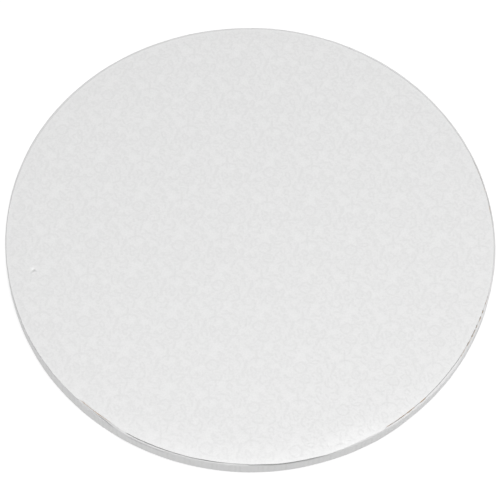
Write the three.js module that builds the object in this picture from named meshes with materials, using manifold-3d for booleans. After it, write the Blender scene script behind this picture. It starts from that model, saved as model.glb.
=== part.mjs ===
// A round laminated cake board, 12 inches across and about half an inch thick.
// Three plies of corrugated board are glued together, a strip of white paper is wrapped round the side and
// turned over onto both faces, and a round sheet covers each face. Millimetres, +Z up, with the origin at
// the middle of the underside and the front of the board towards -Y.
import * as THREE from "three";
import { mergeVertices } from "three/addons/utils/BufferGeometryUtils.js";
import Module from "manifold-3d";

const wasm = await Module();
wasm.setup();

// Driving dimensions
const BOARD_DIAMETER = 304.8;

// The edge band: a strip of paper round the side, gathered into pleats where it is turned over. Its
// shoulders are quarters of an ellipse, higher than they are wide.
const BAND_PAPER = 0.25;
const BAND_TURN = 15;
const SHOULDER_WIDTH = 1.2;
const SHOULDER_HEIGHT = 2.5;
const SHOULDER_STEPS = 3;
const PLEAT_COUNT = 72;
const PLEAT_RISE = 0.2;

// The core: plies of single-wall corrugated board, each two liners and the fluted sheet between them
const PLY_COUNT = 3;
const PLY_THICKNESS = 4.3;
const LINER = 0.6;
const FLUTE_SHEET = 0.4;
const FLUTE_PITCH = 7.9;
const FLUTE_GLUE_WIDTH = 1.6;
const CORE_SIDES = 72;

// The margin of the core's two faces that is pressed down under the turned-over band
const PRESS_RAMP = 3;
const PRESS_CLEARANCE = 0.3;

// The round sheets. The top one is laid on a little to the front and left of the middle.
const SHEET_PAPER = 0.3;
const SHEET_SIDES = 96;
const SHEET_FALL_DELAY = 2;
const TOP_SHEET_SETBACK = 0.8;
const TOP_SHEET_SHIFT = new THREE.Vector2(-0.2, -0.75);
const BASE_SHEET_SETBACK = 8;

// Corners closer than this are one corner
const MERGE_DISTANCE = 1e-4;

// Sizes that follow from them
const BOARD_RADIUS = BOARD_DIAMETER / 2;
const TURN_INNER_RADIUS = BOARD_RADIUS - BAND_TURN;
const SHOULDER_START = BOARD_RADIUS - SHOULDER_WIDTH;
const PLEAT_LENGTH = BAND_TURN - SHOULDER_WIDTH;
const PRESS_DEPTH = BAND_PAPER + PLEAT_RISE;
const CORE_RADIUS = SHOULDER_START;
const CORE_BOTTOM = SHEET_PAPER;
const CORE_TOP = plyHeight(PLY_COUNT);

const materials = {
  embossedPaper: new THREE.MeshStandardMaterial({ color: 0xe6e6e6, roughness: 0.45, metalness: 0 }),
  bandPaper: new THREE.MeshStandardMaterial({ color: 0xe2e2e2, roughness: 0.35, metalness: 0 }),
  plainPaper: new THREE.MeshStandardMaterial({ color: 0xe9e9e7, roughness: 0.8, metalness: 0 }),
  corrugatedBoard: new THREE.MeshStandardMaterial({ color: 0xb58d5e, roughness: 0.9, metalness: 0 }),
};

// The height of the joint above so many plies. Faces that touch take their heights from here, so that
// they are the same number on both pieces.
function plyHeight(pliesBelow) {
  return CORE_BOTTOM + pliesBelow * PLY_THICKNESS;
}

// A profile of [radius, height] points, anticlockwise and either closed or ending on the axis, turned
// about +Z
function turned(profile, sides) {
  const points = profile.map(([radius, height]) => new THREE.Vector2(radius, height));
  return new THREE.LatheGeometry(points, sides).rotateX(Math.PI / 2);
}

// A closed geometry as a solid that can be joined and cut
function solidOf(geometry) {
  const bare = geometry.index ? geometry.toNonIndexed() : geometry.clone();
  bare.deleteAttribute("normal");
  bare.deleteAttribute("uv");
  const merged = mergeVertices(bare, MERGE_DISTANCE);
  return new wasm.Manifold(
    new wasm.Mesh({
      numProp: 3,
      vertProperties: merged.attributes.position.array,
      triVerts: new Uint32Array(merged.index.array),
    }),
  );
}

function geometryOf(solid) {
  const mesh = solid.getMesh();
  const positions = new Float32Array(mesh.numVert * 3);
  for (let i = 0; i < mesh.numVert; i++) {
    const first = i * mesh.numProp;
    positions.set(mesh.vertProperties.subarray(first, first + 3), i * 3);
  }
  const geometry = new THREE.BufferGeometry();
  geometry.setAttribute("position", new THREE.BufferAttribute(positions, 3));
  geometry.setIndex(new THREE.BufferAttribute(new Uint32Array(mesh.triVerts), 1));
  geometry.computeVertexNormals();
  return geometry;
}

// Sheets

// A round sheet on the core's face at the given height, on the side that outwards gives as 1 or -1. It is
// flat in the middle and stops setback short of the board's side. A little past the band's inner edge it
// starts to fall, as the crests of the pleats under it do. A sheet that lies shift off the middle starts
// that much later.
function sheetProfile(face, outwards, setback, shift) {
  const radius = BOARD_RADIUS - setback;
  const fallStart = TURN_INNER_RADIUS + SHEET_FALL_DELAY + shift;
  const fall = (PLEAT_RISE * (radius - fallStart)) / PLEAT_LENGTH;
  const profile = [
    [0, face],
    [fallStart, face],
    [radius, face - outwards * fall],
    [radius, face + outwards * (SHEET_PAPER - fall)],
    [fallStart, face + outwards * SHEET_PAPER],
    [0, face + outwards * SHEET_PAPER],
  ];
  return outwards > 0 ? profile : profile.reverse();
}

function topSheet() {
  const profile = sheetProfile(CORE_TOP, 1, TOP_SHEET_SETBACK, TOP_SHEET_SHIFT.length());
  const mesh = new THREE.Mesh(turned(profile, SHEET_SIDES), materials.embossedPaper);
  mesh.name = "top_sheet";
  mesh.position.set(TOP_SHEET_SHIFT.x, TOP_SHEET_SHIFT.y, 0);
  return mesh;
}

function baseSheet() {
  const profile = sheetProfile(CORE_BOTTOM, -1, BASE_SHEET_SETBACK, 0);
  const mesh = new THREE.Mesh(turned(profile, SHEET_SIDES), materials.plainPaper);
  mesh.name = "base_sheet";
  return mesh;
}

// Edge band

// One rounded shoulder of the band, from startAngle on, at the given depth inside its outer face
function shoulder(height, depth, startAngle) {
  const width = SHOULDER_WIDTH - depth;
  const rise = SHOULDER_HEIGHT - depth;
  const arc = new THREE.EllipseCurve(SHOULDER_START, height, width, rise, startAngle, startAngle + Math.PI / 2);
  return arc.getPoints(SHOULDER_STEPS).map((point) => [point.x, point.y]);
}

// The band's side between its two flat faces, at the given depth inside its outer face
function side(bottom, top, depth) {
  return [
    ...shoulder(bottom + SHOULDER_HEIGHT, depth, -Math.PI / 2),
    ...shoulder(top - SHOULDER_HEIGHT, depth, 0),
  ];
}

// The band is a channel section turned round the board. Round the side it is flat and tight. Where it is
// turned over the paper has less and less room, so pleats rise from the shoulder to the band's inner edge.
function edgeBand() {
  const bottom = CORE_BOTTOM + PLEAT_RISE;
  const top = CORE_TOP - PLEAT_RISE;
  const profile = [
    [TURN_INNER_RADIUS, bottom],
    ...side(bottom, top, 0),
    [TURN_INNER_RADIUS, top],
    [TURN_INNER_RADIUS, CORE_TOP - PRESS_DEPTH],
    ...side(bottom, top, BAND_PAPER).reverse(),
    [TURN_INNER_RADIUS, CORE_BOTTOM + PRESS_DEPTH],
    [TURN_INNER_RADIUS, bottom],
  ];
  const geometry = turned(profile, 2 * PLEAT_COUNT);
  raisePleats(geometry, bottom, top);
  const mesh = new THREE.Mesh(geometry, materials.bandPaper);
  mesh.name = "edge_band";
  return mesh;
}

// Every second column of the turned profile is a pleat's crest, and the columns between are the hollows.
// At its inner edge the band's outer faces rise on the crests, to lie level with the middle of the core.
// The faces that are glued to the core stay flat.
function raisePleats(geometry, bottom, top) {
  const position = geometry.attributes.position;
  const columns = 2 * PLEAT_COUNT + 1;
  const pointsPerColumn = position.count / columns;
  const atInnerEdge = TURN_INNER_RADIUS + BAND_TURN / 2;
  const bottomHollow = Math.fround(bottom);
  const topHollow = Math.fround(top);
  for (let i = 0; i < position.count; i++) {
    const onCrest = Math.floor(i / pointsPerColumn) % 2 === 0;
    const nearInnerEdge = Math.hypot(position.getX(i), position.getY(i)) < atInnerEdge;
    if (!onCrest || !nearInnerEdge) continue;
    if (position.getZ(i) === bottomHollow) position.setZ(i, CORE_BOTTOM);
    if (position.getZ(i) === topHollow) position.setZ(i, CORE_TOP);
  }
  geometry.computeVertexNormals();
}

// Core

// The open space between one liner and the fluted sheet, one flute wide. The flanks of the fluted sheet
// lean at about 45 degrees, so they are wider along the board than the sheet is thick.
function fluteSection(centre, linerSide, sheetSide) {
  const flankWidth = FLUTE_SHEET * Math.SQRT2;
  const atLiner = (FLUTE_PITCH - FLUTE_GLUE_WIDTH) / 2;
  const lean = (flankWidth + 2 * atLiner - FLUTE_PITCH / 2) / (PLY_THICKNESS - 2 * LINER);
  const atSheet = atLiner - lean * Math.abs(sheetSide - linerSide);
  const section = new THREE.Shape();
  section.moveTo(centre - atLiner, linerSide);
  section.lineTo(centre - atSheet, sheetSide);
  section.lineTo(centre + atSheet, sheetSide);
  section.lineTo(centre + atLiner, linerSide);
  section.closePath();
  return section;
}

// All the open spaces of the ply that starts at the given height, run along +Y right across the board:
// those under the fluted sheet open onto the lower liner, and those over it, half a flute along, onto the
// upper one
function flutes(bottom) {
  const lowLiner = bottom + LINER;
  const highLiner = bottom + PLY_THICKNESS - LINER;
  const count = Math.ceil(CORE_RADIUS / FLUTE_PITCH);
  const sections = [];
  for (let i = -count; i <= count; i++) {
    const centre = i * FLUTE_PITCH;
    sections.push(fluteSection(centre, lowLiner, highLiner - FLUTE_SHEET));
    sections.push(fluteSection(centre + FLUTE_PITCH / 2, highLiner, lowLiner + FLUTE_SHEET));
  }
  const run = 2 * (CORE_RADIUS + FLUTE_PITCH);
  const spaces = new THREE.ExtrudeGeometry(sections, { depth: run, bevelEnabled: false });
  return spaces.translate(0, 0, -run / 2).rotateX(Math.PI / 2);
}

// One face of a ply, from the middle to the side. A face under the band is pressed down round its margin,
// so that the band's pleats end level with the middle of the face.
function plyFace(height, inwards, pressed) {
  if (!pressed) return [[0, height], [CORE_RADIUS, height]];
  const rampFoot = TURN_INNER_RADIUS - PRESS_CLEARANCE;
  const low = height + inwards * PRESS_DEPTH;
  return [[0, height], [rampFoot - PRESS_RAMP, height], [rampFoot, low], [CORE_RADIUS, low]];
}

// One ply: a disc of board with its flutes open at both ends
function corrugatedPly(index) {
  const lowerFace = plyFace(plyHeight(index), 1, index === 0);
  const upperFace = plyFace(plyHeight(index + 1), -1, index === PLY_COUNT - 1);
  const disc = turned([...lowerFace, ...upperFace.reverse()], CORE_SIDES);
  return geometryOf(solidOf(disc).subtract(solidOf(flutes(plyHeight(index)))));
}

// The plies, counted from the bottom, are stacked with their flutes crossed
function corePlies() {
  const plies = [];
  for (let i = 0; i < PLY_COUNT; i++) {
    const mesh = new THREE.Mesh(corrugatedPly(i), materials.corrugatedBoard);
    mesh.name = "core_ply_" + (i + 1);
    mesh.rotation.z = (i % 2) * (Math.PI / 2);
    plies.push(mesh);
  }
  return plies;
}

const board = new THREE.Group();
board.name = "cake_board";
board.add(baseSheet(), ...corePlies(), edgeBand(), topSheet());

export default board;
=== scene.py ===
"""The looks of a round white cake board: corrugated plies in a gathered paper band, between two sheets.

It builds the embossed top sheet, the gathered band and the base sheet around the CAD solids, gives every
piece its material, and sets up the stage. Lengths inside the helper functions are in millimetres, and
angles on the board run from the right (+X) towards the back.
"""

import math

import bpy
import numpy as np
from mathutils import Matrix, Vector
from mathutils.geometry import delaunay_2d_cdt


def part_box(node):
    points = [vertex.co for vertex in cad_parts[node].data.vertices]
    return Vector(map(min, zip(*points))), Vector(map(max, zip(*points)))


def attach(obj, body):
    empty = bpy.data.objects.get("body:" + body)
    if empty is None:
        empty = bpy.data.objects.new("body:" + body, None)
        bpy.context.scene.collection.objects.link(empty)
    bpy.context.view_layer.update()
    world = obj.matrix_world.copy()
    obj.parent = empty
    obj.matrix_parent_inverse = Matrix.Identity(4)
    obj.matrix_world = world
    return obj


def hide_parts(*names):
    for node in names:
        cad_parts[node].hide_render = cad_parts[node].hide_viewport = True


bl_info = {
    "name": "Embossed cake board",
    "version": (1, 0, 0),
    "blender": (4, 5, 0),
    "location": "3D View > Sidebar > Cake board",
    "description": "Builds a round cake board with an embossed sheet and a gathered paper band",
    "category": "Add Mesh",
}

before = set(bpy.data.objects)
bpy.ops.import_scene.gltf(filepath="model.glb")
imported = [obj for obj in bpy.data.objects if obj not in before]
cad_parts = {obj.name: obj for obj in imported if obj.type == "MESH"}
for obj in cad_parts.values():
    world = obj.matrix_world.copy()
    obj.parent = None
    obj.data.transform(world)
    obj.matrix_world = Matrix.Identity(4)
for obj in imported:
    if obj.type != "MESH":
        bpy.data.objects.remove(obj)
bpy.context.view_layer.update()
MM = 0.001
TURN = 2 * math.pi


def node_size(node):
    """Radius, lowest and highest level of a round CAD node, in millimetres."""
    low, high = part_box(node)
    return (high.y - low.y) / 2 / MM, low.z / MM, high.z / MM


BAND_RADIUS, BAND_BOTTOM, BAND_TOP = node_size("edge_band")
BASE_RADIUS, BASE_BOTTOM = node_size("base_sheet")[:2]
TOP_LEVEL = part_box("top_sheet")[1].z / MM
CORE_RADIUS = node_size("core_ply_3")[0]

# The core has this many plies, and its crushed margin lies this far below the band's top.
PLY_COUNT = 3
CRUSH_DEPTH = 0.45
CORE_TOP = BAND_TOP - CRUSH_DEPTH

# One repeat of the embossing is laid out on two steps, one along the row and one down to the next, which
# starts half a step further on. The repeats go this many steps each way from the middle.
REPEAT_ALONG = np.array([53.4, 0.9])
REPEAT_DROP = np.array([26.0, -26.3])
REPEATS_OUT = 9

# Stations on a stroke's curve: the longest straight step and the widest bend between two of them, and the
# steps that the curve is measured in between two given points. A ring is a curve through a few points of an
# ellipse. A leaf has a step of its own, its width at the ends and what the middle adds, as shares.
STRAIGHT_STEP = 1.9
BEND_STEP = math.radians(58)
SPAN_STEPS = 24
RING_POINTS = 12
LEAF_STEP = 1.3
LEAF_ENDS = 0.55
LEAF_SWELL = 0.45

# Mesh points of one repeat: where they stand across a stroke in half widths, the step of the grid between
# the strokes, the share of the depth where the grid stops, and the size of the cells that keep one point.
ACROSS_STROKE = (-0.42, 0.42, -1.05, 1.05)
GROUND_STEP = 2.8
GROUND_SHARE = 0.12
NEAREST_POINTS = 0.39

# The section of a stroke: the share of its half width that is flat, and the shallow dip around it, with
# its share of the depth and its reach past the stroke.
FLOOR_SHARE = 0.25
DIP_SHARE = 0.3
DIP_REACH = 1.0

# The disc that the top sheet is meshed on, before its edge is moved in or out. The embossing's points stop
# short of its rim, one sparser ring lies inside it, and the move and the embossing fade over a width.
DISC_RADIUS = 151.5
DISC_MARGIN = 1.3
DISC_RING = 0.7
EDGE_POINTS = 720
MOVE_WIDTH = 9
EMBOSS_FADE = 3

# A small dent in the top sheet near its left edge: its middle, its reach, and its depth, which stays less
# than the paper's thickness. A painted highlight brightens its back side, with its place from the middle and
# its reach. Two short strokes of painted shade darken its front side, each laid out from the middle like a
# piece of a stroke: x, y, half width and share at its start, and the same at its end; then their strength.
DENT_PLACE = np.array([-132.4, -30.5])
DENT_REACH = 0.85
DENT_DEPTH = 0.26
PAINTED_HIGHLIGHT_PLACE = np.array([-0.5, 0.5])
PAINTED_HIGHLIGHT_REACH = 0.95
PAINTED_SHADE_STROKES = np.array([[0.4, -0.4, 1.1, 1.0, -1.3, -2.1, 0.9, 0.5], [0.4, -0.4, 1.1, 1.0, 2.0, -1.0, 0.8, 0.5]])
PAINTED_SHADE_STRENGTH = 6.2

# The finer mesh around the dent: its radius, the room kept inside that, the rows each way, the step along a
# row as a share of the dent's reach, and the step between rows as a share of the one along them.
DENT_MESH = 3.0
DENT_MARGIN = 0.2
DENT_ROWS = 14
DENT_STEP = 0.3
DENT_ROW_STEP = 0.87

# The rings of the top sheet's underside: how far inside its edge, and the share of the paper's thickness.
UNDER_RINGS = ((0, 0.85), (12, 1))

# The steps that a slope is measured over, and the distance that the triangulation takes as none.
PRESS_NUDGE = 0.02
ROLL_NUDGE = 0.05
NO_DISTANCE = 1e-7

# The radius where the top starts to roll over, and the most that the band's turned margin sinks.
ROLL_START = 136.0
MARGIN_SINK = 0.4

# The mesh of the band: its columns around, and its rows on a turned margin, the shoulder, the wall and the
# lower shoulder. The base sheet has columns of its own.
BAND_COLUMNS = 1500
TURN_ROWS = 3
SHOULDER_ROWS = 21
WALL_ROWS = 7
LOW_ROWS = 5
BASE_COLUMNS = 360

# The pleats: the share of each that is its long side, how much their height varies, the share of it that is
# left at the shoulder, and the waves in their pitch as (how many, height, phase).
PLEAT_LEAN = 0.72
PLEAT_VARIES = 0.25
PLEAT_LEFT = 0.25
PITCH_WAVES = ((3, 0.02, 0.3), (7, 0.012, 1.7), (19, 0.006, 2.9), (41, 0.003, 0.2))

# A line square to the view of the board's front edge: its parts outwards and downwards. Along it, from the
# top sheet's edge, are measured the middle of the gap in half widths of it, the place and half width of the
# bead, and the half width of the creases, which push in by a share of their shade.
VIEW_OUT = 0.93
VIEW_DOWN = 0.36
GAP_MIDDLE = 0.6
BEAD_PLACE = 0.85
BEAD_HALF = 0.28
CREASE_HALF = 0.22
CREASE_PUSH = 0.5

# The painted shadow in the band's colour: the most in the gap, the most at the foot, and how much for each
# millimetre of a fold. The folds lose a share of their depth down to the foot, and the wall is a little
# hollow.
GAP_SHADE_LIMIT = 0.95
FOOT_SHADE = 0.12
FOLD_SHADE = 1.8
FOLD_LOSS = 0.5
WALL_HOLLOW = 0.05

# The room that the band keeps outside the core's corner, at its side and on its top, how much further in
# than the top sheet's edge the shoulder starts, and how far below the margin.
SIDE_ROOM = 0.08
TOP_ROOM = 0.04
SHOULDER_UNDER = 0.35
SHOULDER_DROP = 0.02

# The unevenness of the rim around the circle. Each table has (degrees, value) places that straight lines
# join, or (degrees, half width in degrees, height) humps. First the top sheet: how far out its edge
# reaches, and how far its face has sunk at the board's side.
SHEET_REACH = (
    (0, 151.2), (10, 151.0), (60, 151.0), (90, 151.1), (97, 150.6), (118, 150.6), (124, 151.0),
    (165, 151.1), (180, 151.4), (200, 151.4), (206, 151.7), (226, 151.8), (229.3, 151.8), (230.6, 150.6),
    (237, 150.6), (240, 151.4), (243, 151.75), (252, 151.85), (267, 151.95), (271.4, 151.9),
    (271.8, 152.2), (276, 152.3), (279, 152.45), (283, 152.3), (289, 152.45), (294, 151.9), (298, 151.4),
    (303.8, 151.9), (304.3, 151.1), (312, 150.85), (327, 150.6), (339, 150.45), (348, 151.1))
SHEET_SINK = (
    (0, 0.36), (60, 0.3), (100, 0.24), (160, 0.2), (180, 0.3), (205, 0.45), (228, 0.5), (250, 0.52),
    (272, 0.5), (288, 0.52), (293, 0.75), (301, 0.8), (305, 0.52), (340, 0.46))

# The band's wall: how far its foot stands out past the round, and how much further out it is than the head.
FOOT_SHIFT = (
    (0, 0), (15, -0.15), (35, 0.25), (60, 0.6), (72, 0.4), (88, 0.3), (98, 0), (112, 0.1), (125, 0.45),
    (152, 0.55), (165, 0.1), (185, -0.35), (200, -0.35), (215, -0.15), (240, 0.1), (262, 0.15), (275, 0),
    (290, -0.35), (302, -0.3), (306, -0.5), (312, -0.85), (322, -0.8), (331, -0.65), (345, -0.1))
WALL_LEAN = (
    (0, 0), (195, 0), (205, 0.2), (228, 0.25), (231, 0.4), (239, 0.3), (243, -0.45), (252, -0.45),
    (253, -0.05), (262, -0.05), (275, -0.1), (290, -0.25), (303, -0.15), (307, -0.6), (312, -0.8),
    (323, -0.9), (328, -0.8), (331, -0.45), (345, 0))

# The band's shoulder: its width as a share of the set one, its height, how boxy its section is (the power
# of the sine and cosine that draw it), and the width of the lower shoulder.
SHOULDER_WIDTH = (
    (0, 1), (30, 0.8), (190, 0.8), (203, 0.35), (228, 0.35), (231, 0.7), (240, 0.6), (243, 0.9), (290, 1),
    (304, 1), (308, 1.4), (326, 1.4), (334, 1))
SHOULDER_HEIGHT = (
    (0, 1.6), (20, 1.1), (190, 1.1), (203, 0.9), (228, 0.9), (231, 1.3), (239, 1.4), (243, 0.7),
    (252, 0.8), (253, 1.5), (271, 1.9), (272, 2.6), (289, 2.4), (294, 2.2), (302, 2.0), (306, 1.0),
    (316, 0.7), (327, 0.8), (330, 2.6), (334, 2.2), (343, 2.0))
SHOULDER_POWER = (
    (0, 1), (229, 1), (231, 1.6), (239, 1.6), (243, 0.7), (252, 0.7), (253, 1), (303, 1), (306, 0.7),
    (328, 0.7), (331, 1))
LOW_SHOULDER_WIDTH = (
    (0, 0.7), (25, 0.5), (205, 0.5), (228, 0.3), (285, 0.3), (300, 0.5), (334, 0.5), (350, 0.7))
LOW_SHOULDER_RATIO = 1.5

# The gap under the top sheet's edge: its depth, some single hollows in it, its half width, and its painted
# shade for each millimetre of depth.
GAP_DEPTH = (
    (0, 0.2), (8, 0.35), (10, 0.5), (22, 0.5), (26, 0.3), (70, 0.32), (90, 0.12), (130, 0.08),
    (165, 0.15), (190, 0.2), (203, 0.2), (209, 0.15), (228, 0.1), (229.5, 0), (242.8, 0), (243.4, 0.35),
    (252.3, 0.35), (253, 0.35), (264, 0.42), (268, 0.2), (271.4, 0.1), (271.8, 0.3), (275, 0.45),
    (278, 0.45), (281, 0.6), (285, 0.6), (290, 0.1), (293, 0), (303.6, 0), (304.2, 0.22), (309, 0.22),
    (313, 0.3), (328, 0.35), (329, 0.12), (332, 0.06), (343, 0.06), (350, 0.12))
GAP_HOLLOWS = (
    (213, 0.5, 0.12), (219.5, 1.0, 0.06), (229.2, 0.4, 0.15), (245.5, 0.5, 0.1), (248, 0.6, 0.12),
    (262, 0.8, 0.12), (276, 0.9, 0.25), (279.3, 0.5, 0.15), (283.5, 1.0, 0.2), (307.8, 0.7, 0.1),
    (311.2, 0.5, 0.25), (312.5, 0.3, 0.15), (320, 0.4, 0.08), (323, 0.4, 0.1), (333.2, 0.45, 0.4),
    (335.6, 0.4, 0.45), (336.8, 0.4, 0.35), (338.2, 0.35, 0.5), (340.5, 0.35, 0.45), (342.3, 0.4, 0.4),
    (344.5, 0.3, 0.12), (346.3, 0.3, 0.12), (12, 0.6, 0.15), (16, 0.6, 0.15), (51.5, 0.5, 0.15),
    (60, 0.8, 0.15), (67.5, 0.8, 0.15))
GAP_HALF = (
    (0, 0.3), (242, 0.3), (243, 0.18), (252, 0.2), (254, 0.3), (273, 0.3), (276, 0.4), (286, 0.4),
    (290, 0.3), (303, 0.3), (304, 0.18), (328, 0.18), (330, 0.3), (350, 0.3))
GAP_SHADE = (
    (0, 1.6), (242, 1.6), (243, 3.0), (252, 3.0), (254, 1.8), (303, 1.6), (304, 2.6), (309.8, 2.6),
    (310.8, 4.0), (328, 4.0), (329, 3.6), (343, 3.6), (350, 1.6))

# Marks on the band: the bead below the gap, upright folds in the wall, and the depth and place of the
# creases that run along it. The folds and the creases are shaped in the mesh and also carry painted shade.
BEAD_HEIGHT = (
    (0, 0), (242.6, 0), (243.4, 0.1), (252, 0.15), (264, 0.24), (268, 0.3), (271, 0.2), (272, 0))
WALL_FOLDS = (
    (333.2, 0.15, 0.1), (336.9, 0.15, 0.12), (338.8, 0.16, 0.26), (338.3, 0.15, -0.1),
    (340.8, 0.16, 0.24), (342.4, 0.14, 0.22), (343.0, 0.14, 0.12), (344.2, 0.15, 0.08), (347.5, 0.3, 0.08),
    (351, 0.2, 0.06), (355, 0.25, 0.08))
CREASE_DEPTH = (
    (0, 0), (230, 0), (231, 0.15), (234, 0.25), (235.5, 0.5), (236.2, 0.9), (238, 0.8), (240, 0.1),
    (242.7, 0), (243.4, 0.4), (252.2, 0.3), (252.8, 0.04), (266, 0))
CREASE_PLACE = ((231, 1.45), (240, 1.45), (243, 1.65), (252, 1.65), (266, 1.6))

# How closely the band's columns stand, as a multiple of the loosest.
CROWDING = ((0, 1), (185, 1), (190, 1.2), (329, 1.2), (332, 3), (346, 3), (349, 1.2))

# The base sheet's edge lies inside its CAD one. Its rings: how far inside the edge, how far they rise there,
# and 0 underneath or 1 on top. A share of the rise follows the pleats.
BASE_INSET = 0.4
BASE_RIPPLE = 0.6
BASE_RINGS = (
    (140, 0, 0), (60, 0, 0), (10, 0, 0), (5, 0.03, 0), (2, 0.07, 0), (0, 0.12, 0),
    (0, 0.12, 1), (2, 0.07, 1), (5, 0.03, 1), (10, 0, 1), (140, 0, 1))

# Colours: the part of the noise's range that a mottle uses, how many shares of pressing the darkest painted
# shade on the dent has, the brightness of the painted highlight on the dent, and the grey of the deepest
# painted shadow on the band.
NOISE_RANGE = (0.3, 0.7)
PRESSED_RANGE = 6.0
PAINTED_HIGHLIGHT_SHADE = 1.2
DEEP_SHADOW = (0.05, 0.05, 0.05)

# The stage: half the floor's side in millimetres, the floor's own glow and the grey that its shadows are
# drawn on, and the side lamps with their share of the power and where they stand around the board, in
# degrees. Their size and distance and the camera's far limit are in metres, its sensor in millimetres.
FLOOR_HALF = 1200
FLOOR_GLOW = 0.8
FLOOR_SHOWN = 0.3
SIDE_LAMPS = (("front_lamp", 1.1, 250), ("right_lamp", 0.85, 5))
SIDE_LAMP_SIZE = 1.2
SIDE_LAMP_DISTANCE = 2.5
CLIP_END = 20
SENSOR_WIDTH = 36


def around(angles, places):
    """A value at each angle, from (degrees, value) places joined by straight lines around the circle."""
    degrees, values = np.array(places, float).T
    return np.interp(np.degrees(angles) % 360, degrees, values, period=360)


def waves(angles, *parts):
    """The sum of sine waves around the circle, each given as (how many, its height, its phase)."""
    return sum(height * np.sin(count * angles + phase) for count, height, phase in parts)


def bell(away, half):
    """e to the power of minus the square of the distance over the half width."""
    return np.exp(-((away / half) ** 2))


def humps(angles, places):
    """The sum of bells around the circle, each given as (degrees, half width in degrees, height)."""
    total = np.zeros_like(angles)
    for degrees, half, height in places:
        away = (np.degrees(angles) - degrees + 180) % 360 - 180
        total += height * bell(away, half)
    return total


def smooth_step(value):
    """0 below 0, 1 above 1 and the curve 3t^2 - 2t^3 between."""
    t = np.clip(value, 0, 1)
    return t * t * (3 - 2 * t)


def circle_of(count):
    """Evenly spaced angles around the circle, and the cosine and sine of each."""
    angles = np.arange(count) * TURN / count
    return angles, np.stack([np.cos(angles), np.sin(angles)], 1)


def sheet_edge_radius(angles):
    """How far out the hand-laid top sheet reaches at each angle: the table's value and three small waves."""
    return around(angles, SHEET_REACH) + waves(angles, (31, 0.04, 0.4), (57, 0.03, 1.9), (83, 0.03, 3.1))


def sheet_fall(radius, angles):
    """How far the top face has sunk at a radius: a parabola from where the roll starts to the edge."""
    t = np.clip((radius - ROLL_START) / (BAND_RADIUS - ROLL_START), 0, None)
    return around(angles, SHEET_SINK) * t**2


# The strokes of the embossing, each an array with the rows x, y, half width and share of the depth.


def stations(points, closed):
    """Places along the smooth curve through a few points (a Catmull-Rom spline), closer in its bends."""
    points = np.asarray(points, float)
    if closed:
        before, after = points[-1:], points[:2]
    else:
        before, after = 2 * points[:1] - points[1:2], 2 * points[-1:] - points[-2:-1]
    p = np.concatenate([before, points, after])
    p0, p1, p2, p3 = p[:-3], p[1:-2], p[2:-1], p[3:]
    t = np.linspace(0, 1, SPAN_STEPS, endpoint=False)[:, None, None]
    square = p0 - 2.5 * p1 + 2 * p2 - p3 / 2
    cube = 1.5 * (p1 - p2) + (p3 - p0) / 2
    curve = p1 + (p2 - p0) * t / 2 + square * t**2 + cube * t**3
    curve = np.concatenate([curve.transpose(1, 0, 2).reshape(-1, 2), points[:1] if closed else points[-1:]])
    step = np.diff(curve, axis=0)
    length = np.hypot(*step.T)
    heading = np.unwrap(np.arctan2(step[:, 1], step[:, 0]))
    bend = np.abs(np.gradient(heading))
    run = np.concatenate([[0], np.cumsum(length / STRAIGHT_STEP + bend / BEND_STEP)])
    at = np.linspace(0, run[-1], max(2, round(run[-1])) + 1)
    return np.stack([np.interp(at, run, curve[:, 0]), np.interp(at, run, curve[:, 1])], 1)


def stroke(points, width, share=1.0, closed=False):
    """A pressed line of one width along the smooth curve through the points."""
    line = stations(points, closed)
    return np.column_stack([line, np.full(len(line), width / 2), np.full(len(line), share)])


def dab(start, end, width, share=1.0):
    """A short pressed leaf: a straight line whose width swells with the sine of the way along it."""
    t = np.linspace(0, 1, max(2, round(math.dist(start, end) / LEAF_STEP)) + 1)
    line = np.outer(1 - t, start) + np.outer(t, end)
    half = width / 2 * (LEAF_ENDS + LEAF_SWELL * np.sin(math.pi * t))
    return np.column_stack([line, half, np.full(len(t), share)])


def ring(x, y, across, high, width, share=1.0, lean=0.0):
    """A closed ellipse; its top leans to the left by the lean times its height over the middle."""
    t = np.linspace(0, TURN, RING_POINTS, endpoint=False)
    out, up = across / 2 * np.cos(t), high / 2 * np.sin(t)
    return stroke(np.stack([x + out - lean * high / 2 * np.sin(t), y + up], 1), width, share, closed=True)


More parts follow.
